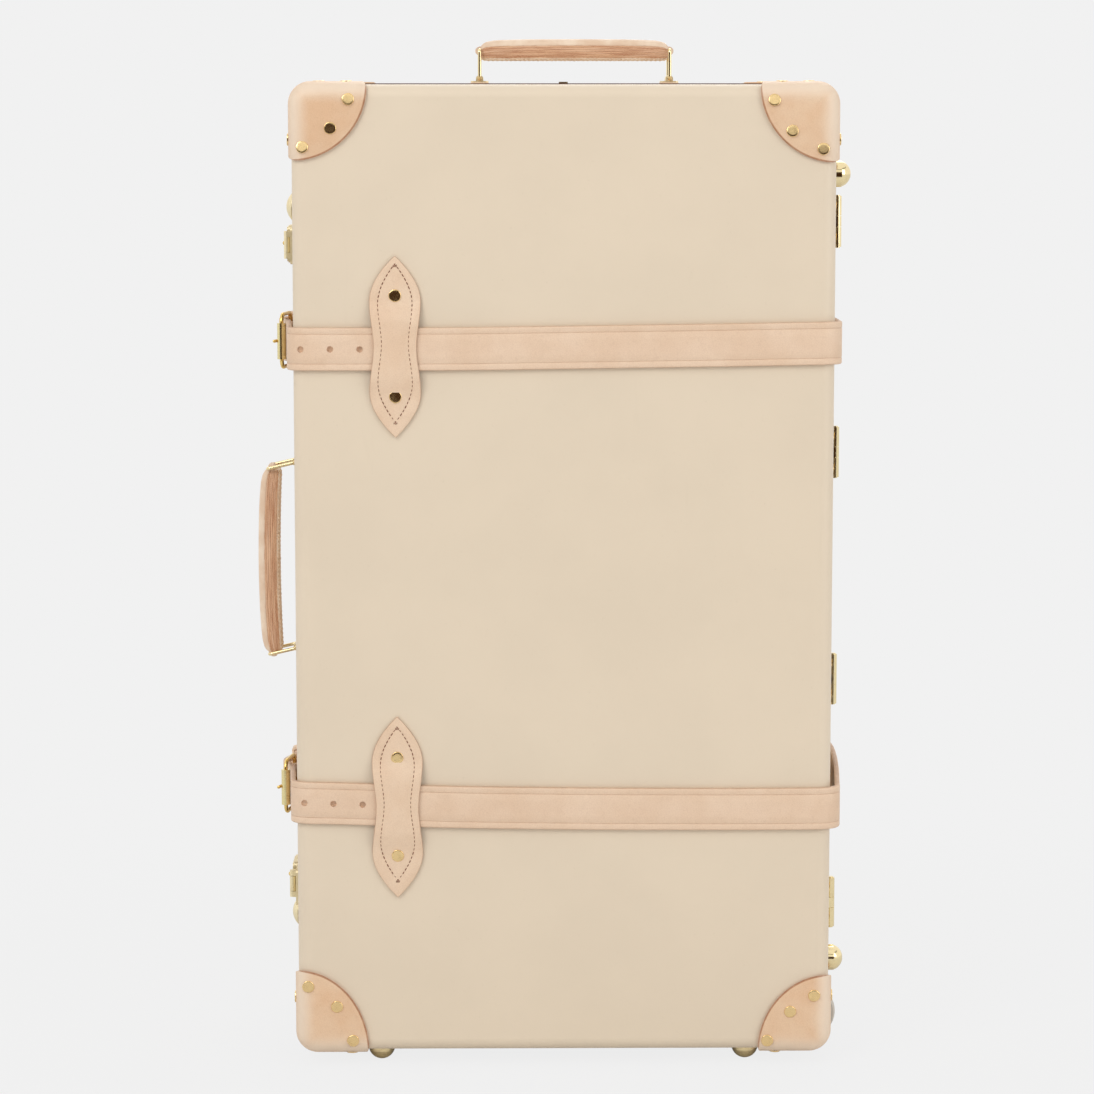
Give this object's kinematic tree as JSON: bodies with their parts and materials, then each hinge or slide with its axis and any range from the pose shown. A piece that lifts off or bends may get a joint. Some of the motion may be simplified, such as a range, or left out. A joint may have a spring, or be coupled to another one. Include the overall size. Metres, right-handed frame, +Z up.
{
  "type": "suitcase",
  "caption": "Strapped fibreboard suitcase with leather corners, buckled straps, two latches, two handles, hinged lid, dome feet and small set-in wheels.",
  "frame": {"origin": "on the floor, under the middle of the whole case standing on its end, with the hanging side handle included", "axes": "+Z up, from the bottom feet to the top handle; -Y towards the lid's face; +X towards the hinge side"},
  "size_m": [0.469, 0.2523, 0.8105],
  "materials": {
    "fibreboard": "cream lacquered fibreboard",
    "ash": "planed ash",
    "lining": "plain cotton lining on board",
    "binding": "dark bound edge",
    "corner_leather": "natural undyed leather",
    "strap_leather": "natural undyed leather, creased edges",
    "handle_leather": "stitched layers of natural leather",
    "brass": "polished brass",
    "aged_brass": "brass, slightly toned",
    "pale_brass": "pale polished brass",
    "steel": "turned steel",
    "wheel_rubber": "pale rubber tread",
    "wheel_plastic": "moulded plastic"
  },
  "bodies": {
    "base": {"base_shell": "fibreboard", "base_frame": "ash", "base_lining": "lining", "base_binding": "binding", "base_leather_corners": "corner_leather", "base_corner_rivets": "brass", "base_straps": "strap_leather", "strap_tips": "strap_leather", "strap_loops": "strap_leather", "strap_rivets": "brass", "base_hinge_leaves": "brass", "base_hinge_rivets": "brass", "hinge_pins": "brass", "lock_cases": "brass", "key_bosses": "brass", "handle_pads": "corner_leather", "handle_brackets": "brass", "buckle_frames": "aged_brass", "base_feet": "brass", "wheel_housings": "wheel_plastic", "wheel_axles": "steel", "trim_joiner": "brass"},
    "lid": {"lid_shell": "fibreboard", "lid_frame": "ash", "lid_lining": "lining", "lid_binding": "binding", "lid_leather_corners": "corner_leather", "lid_corner_rivets": "brass", "lid_straps": "strap_leather", "keeper_patches": "corner_leather", "keeper_rivets": "brass", "lid_hinge_leaves": "brass", "lid_hinge_rivets": "brass", "hasp_plates": "brass", "hasp_pins": "brass", "lid_feet": "brass"},
    "upper_hasp": {"upper_hasp": "brass"},
    "lower_hasp": {"lower_hasp": "brass"},
    "upper_thumb_slide": {"upper_thumb_slide": "aged_brass"},
    "lower_thumb_slide": {"lower_thumb_slide": "aged_brass"},
    "upper_buckle_roller": {"upper_buckle_roller": "pale_brass"},
    "lower_buckle_roller": {"lower_buckle_roller": "pale_brass"},
    "upper_buckle_prong": {"upper_buckle_prong": "aged_brass"},
    "lower_buckle_prong": {"lower_buckle_prong": "aged_brass"},
    "top_loop_left": {"top_loop_left": "brass"},
    "top_loop_right": {"top_loop_right": "brass"},
    "top_grip": {"top_grip": "handle_leather"},
    "side_loop_lower": {"side_loop_lower": "brass"},
    "side_loop_upper": {"side_loop_upper": "brass"},
    "side_grip": {"side_grip": "handle_leather"},
    "front_wheel": {"front_wheel_tyre": "wheel_rubber", "front_wheel_hub": "wheel_plastic"},
    "rear_wheel": {"rear_wheel_tyre": "wheel_rubber", "rear_wheel_hub": "wheel_plastic"}
  },
  "joints": [
    {"name": "lid_hinge", "type": "hinge", "parent": "base", "child": "lid", "pos_m": [0.22746, -0.06, 0.3935], "axis": [0, 0, 1], "range_deg": [0, 105]},
    {"name": "upper_hasp_swing", "type": "hinge", "parent": "lid", "child": "upper_hasp", "pos_m": [-0.20564, -0.068, 0.6495], "axis": [0, 0, 1], "range_deg": [0, 150]},
    {"name": "upper_thumb_slide_travel", "type": "slide", "parent": "base", "child": "upper_thumb_slide", "axis": [0, -1, 0], "range_m": [0, 0.0045]},
    {"name": "upper_roller_spin", "type": "hinge", "parent": "base", "child": "upper_buckle_roller", "pos_m": [-0.21144, -0.0565, 0.573], "axis": [0, 0, 1], "continuous": true},
    {"name": "upper_prong_swing", "type": "hinge", "parent": "base", "child": "upper_buckle_prong", "pos_m": [-0.20624, -0.0231, 0.573], "axis": [0, 0, -1], "range_deg": [0, 90]},
    {"name": "lower_hasp_swing", "type": "hinge", "parent": "lid", "child": "lower_hasp", "pos_m": [-0.20564, -0.068, 0.1375], "axis": [0, 0, 1], "range_deg": [0, 150]},
    {"name": "lower_thumb_slide_travel", "type": "slide", "parent": "base", "child": "lower_thumb_slide", "axis": [0, -1, 0], "range_m": [0, 0.0045]},
    {"name": "lower_roller_spin", "type": "hinge", "parent": "base", "child": "lower_buckle_roller", "pos_m": [-0.21144, -0.0565, 0.214], "axis": [0, 0, 1], "continuous": true},
    {"name": "lower_prong_swing", "type": "hinge", "parent": "base", "child": "lower_buckle_prong", "pos_m": [-0.20624, -0.0231, 0.214], "axis": [0, 0, -1], "range_deg": [0, 90]},
    {"name": "top_loop_left_swing", "type": "hinge", "parent": "base", "child": "top_loop_left", "pos_m": [-0.05454, -0.01, 0.7791], "axis": [0, 1, 0], "range_deg": [-55, 55]},
    {"name": "top_loop_right_swing", "type": "hinge", "parent": "base", "child": "top_loop_right", "pos_m": [0.09646, -0.01, 0.7791], "axis": [0, 1, 0], "range_deg": [-55, 55]},
    {"name": "top_grip_turn", "type": "hinge", "parent": "top_loop_left", "child": "top_grip", "pos_m": [-0.05454, -0.01, 0.8017], "axis": [0, 1, 0], "range_deg": [-55, 55]},
    {"name": "side_loop_lower_swing", "type": "hinge", "parent": "base", "child": "side_loop_lower", "pos_m": [-0.20364, -0.01, 0.322], "axis": [0, 1, 0], "range_deg": [-42, 68]},
    {"name": "side_loop_upper_swing", "type": "hinge", "parent": "base", "child": "side_loop_upper", "pos_m": [-0.20364, -0.01, 0.473], "axis": [0, 1, 0], "range_deg": [-42, 68]},
    {"name": "side_grip_turn", "type": "hinge", "parent": "side_loop_lower", "child": "side_grip", "pos_m": [-0.22566, -0.01, 0.31692], "axis": [0, 1, 0], "range_deg": [-68, 42]},
    {"name": "front_wheel_spin", "type": "hinge", "parent": "base", "child": "front_wheel", "pos_m": [0.21226, -0.038, 0.0235], "axis": [0, 1, 0], "continuous": true},
    {"name": "rear_wheel_spin", "type": "hinge", "parent": "base", "child": "rear_wheel", "pos_m": [0.21226, 0.048, 0.0235], "axis": [0, 1, 0], "continuous": true}
  ],
  "couplings": [
    {"joint": "top_loop_right_swing", "follows": "top_loop_left_swing", "ratio": 1},
    {"joint": "top_grip_turn", "follows": "top_loop_left_swing", "ratio": -1},
    {"joint": "side_loop_upper_swing", "follows": "side_loop_lower_swing", "ratio": 1},
    {"joint": "side_grip_turn", "follows": "side_loop_lower_swing", "ratio": -1}
  ]
}
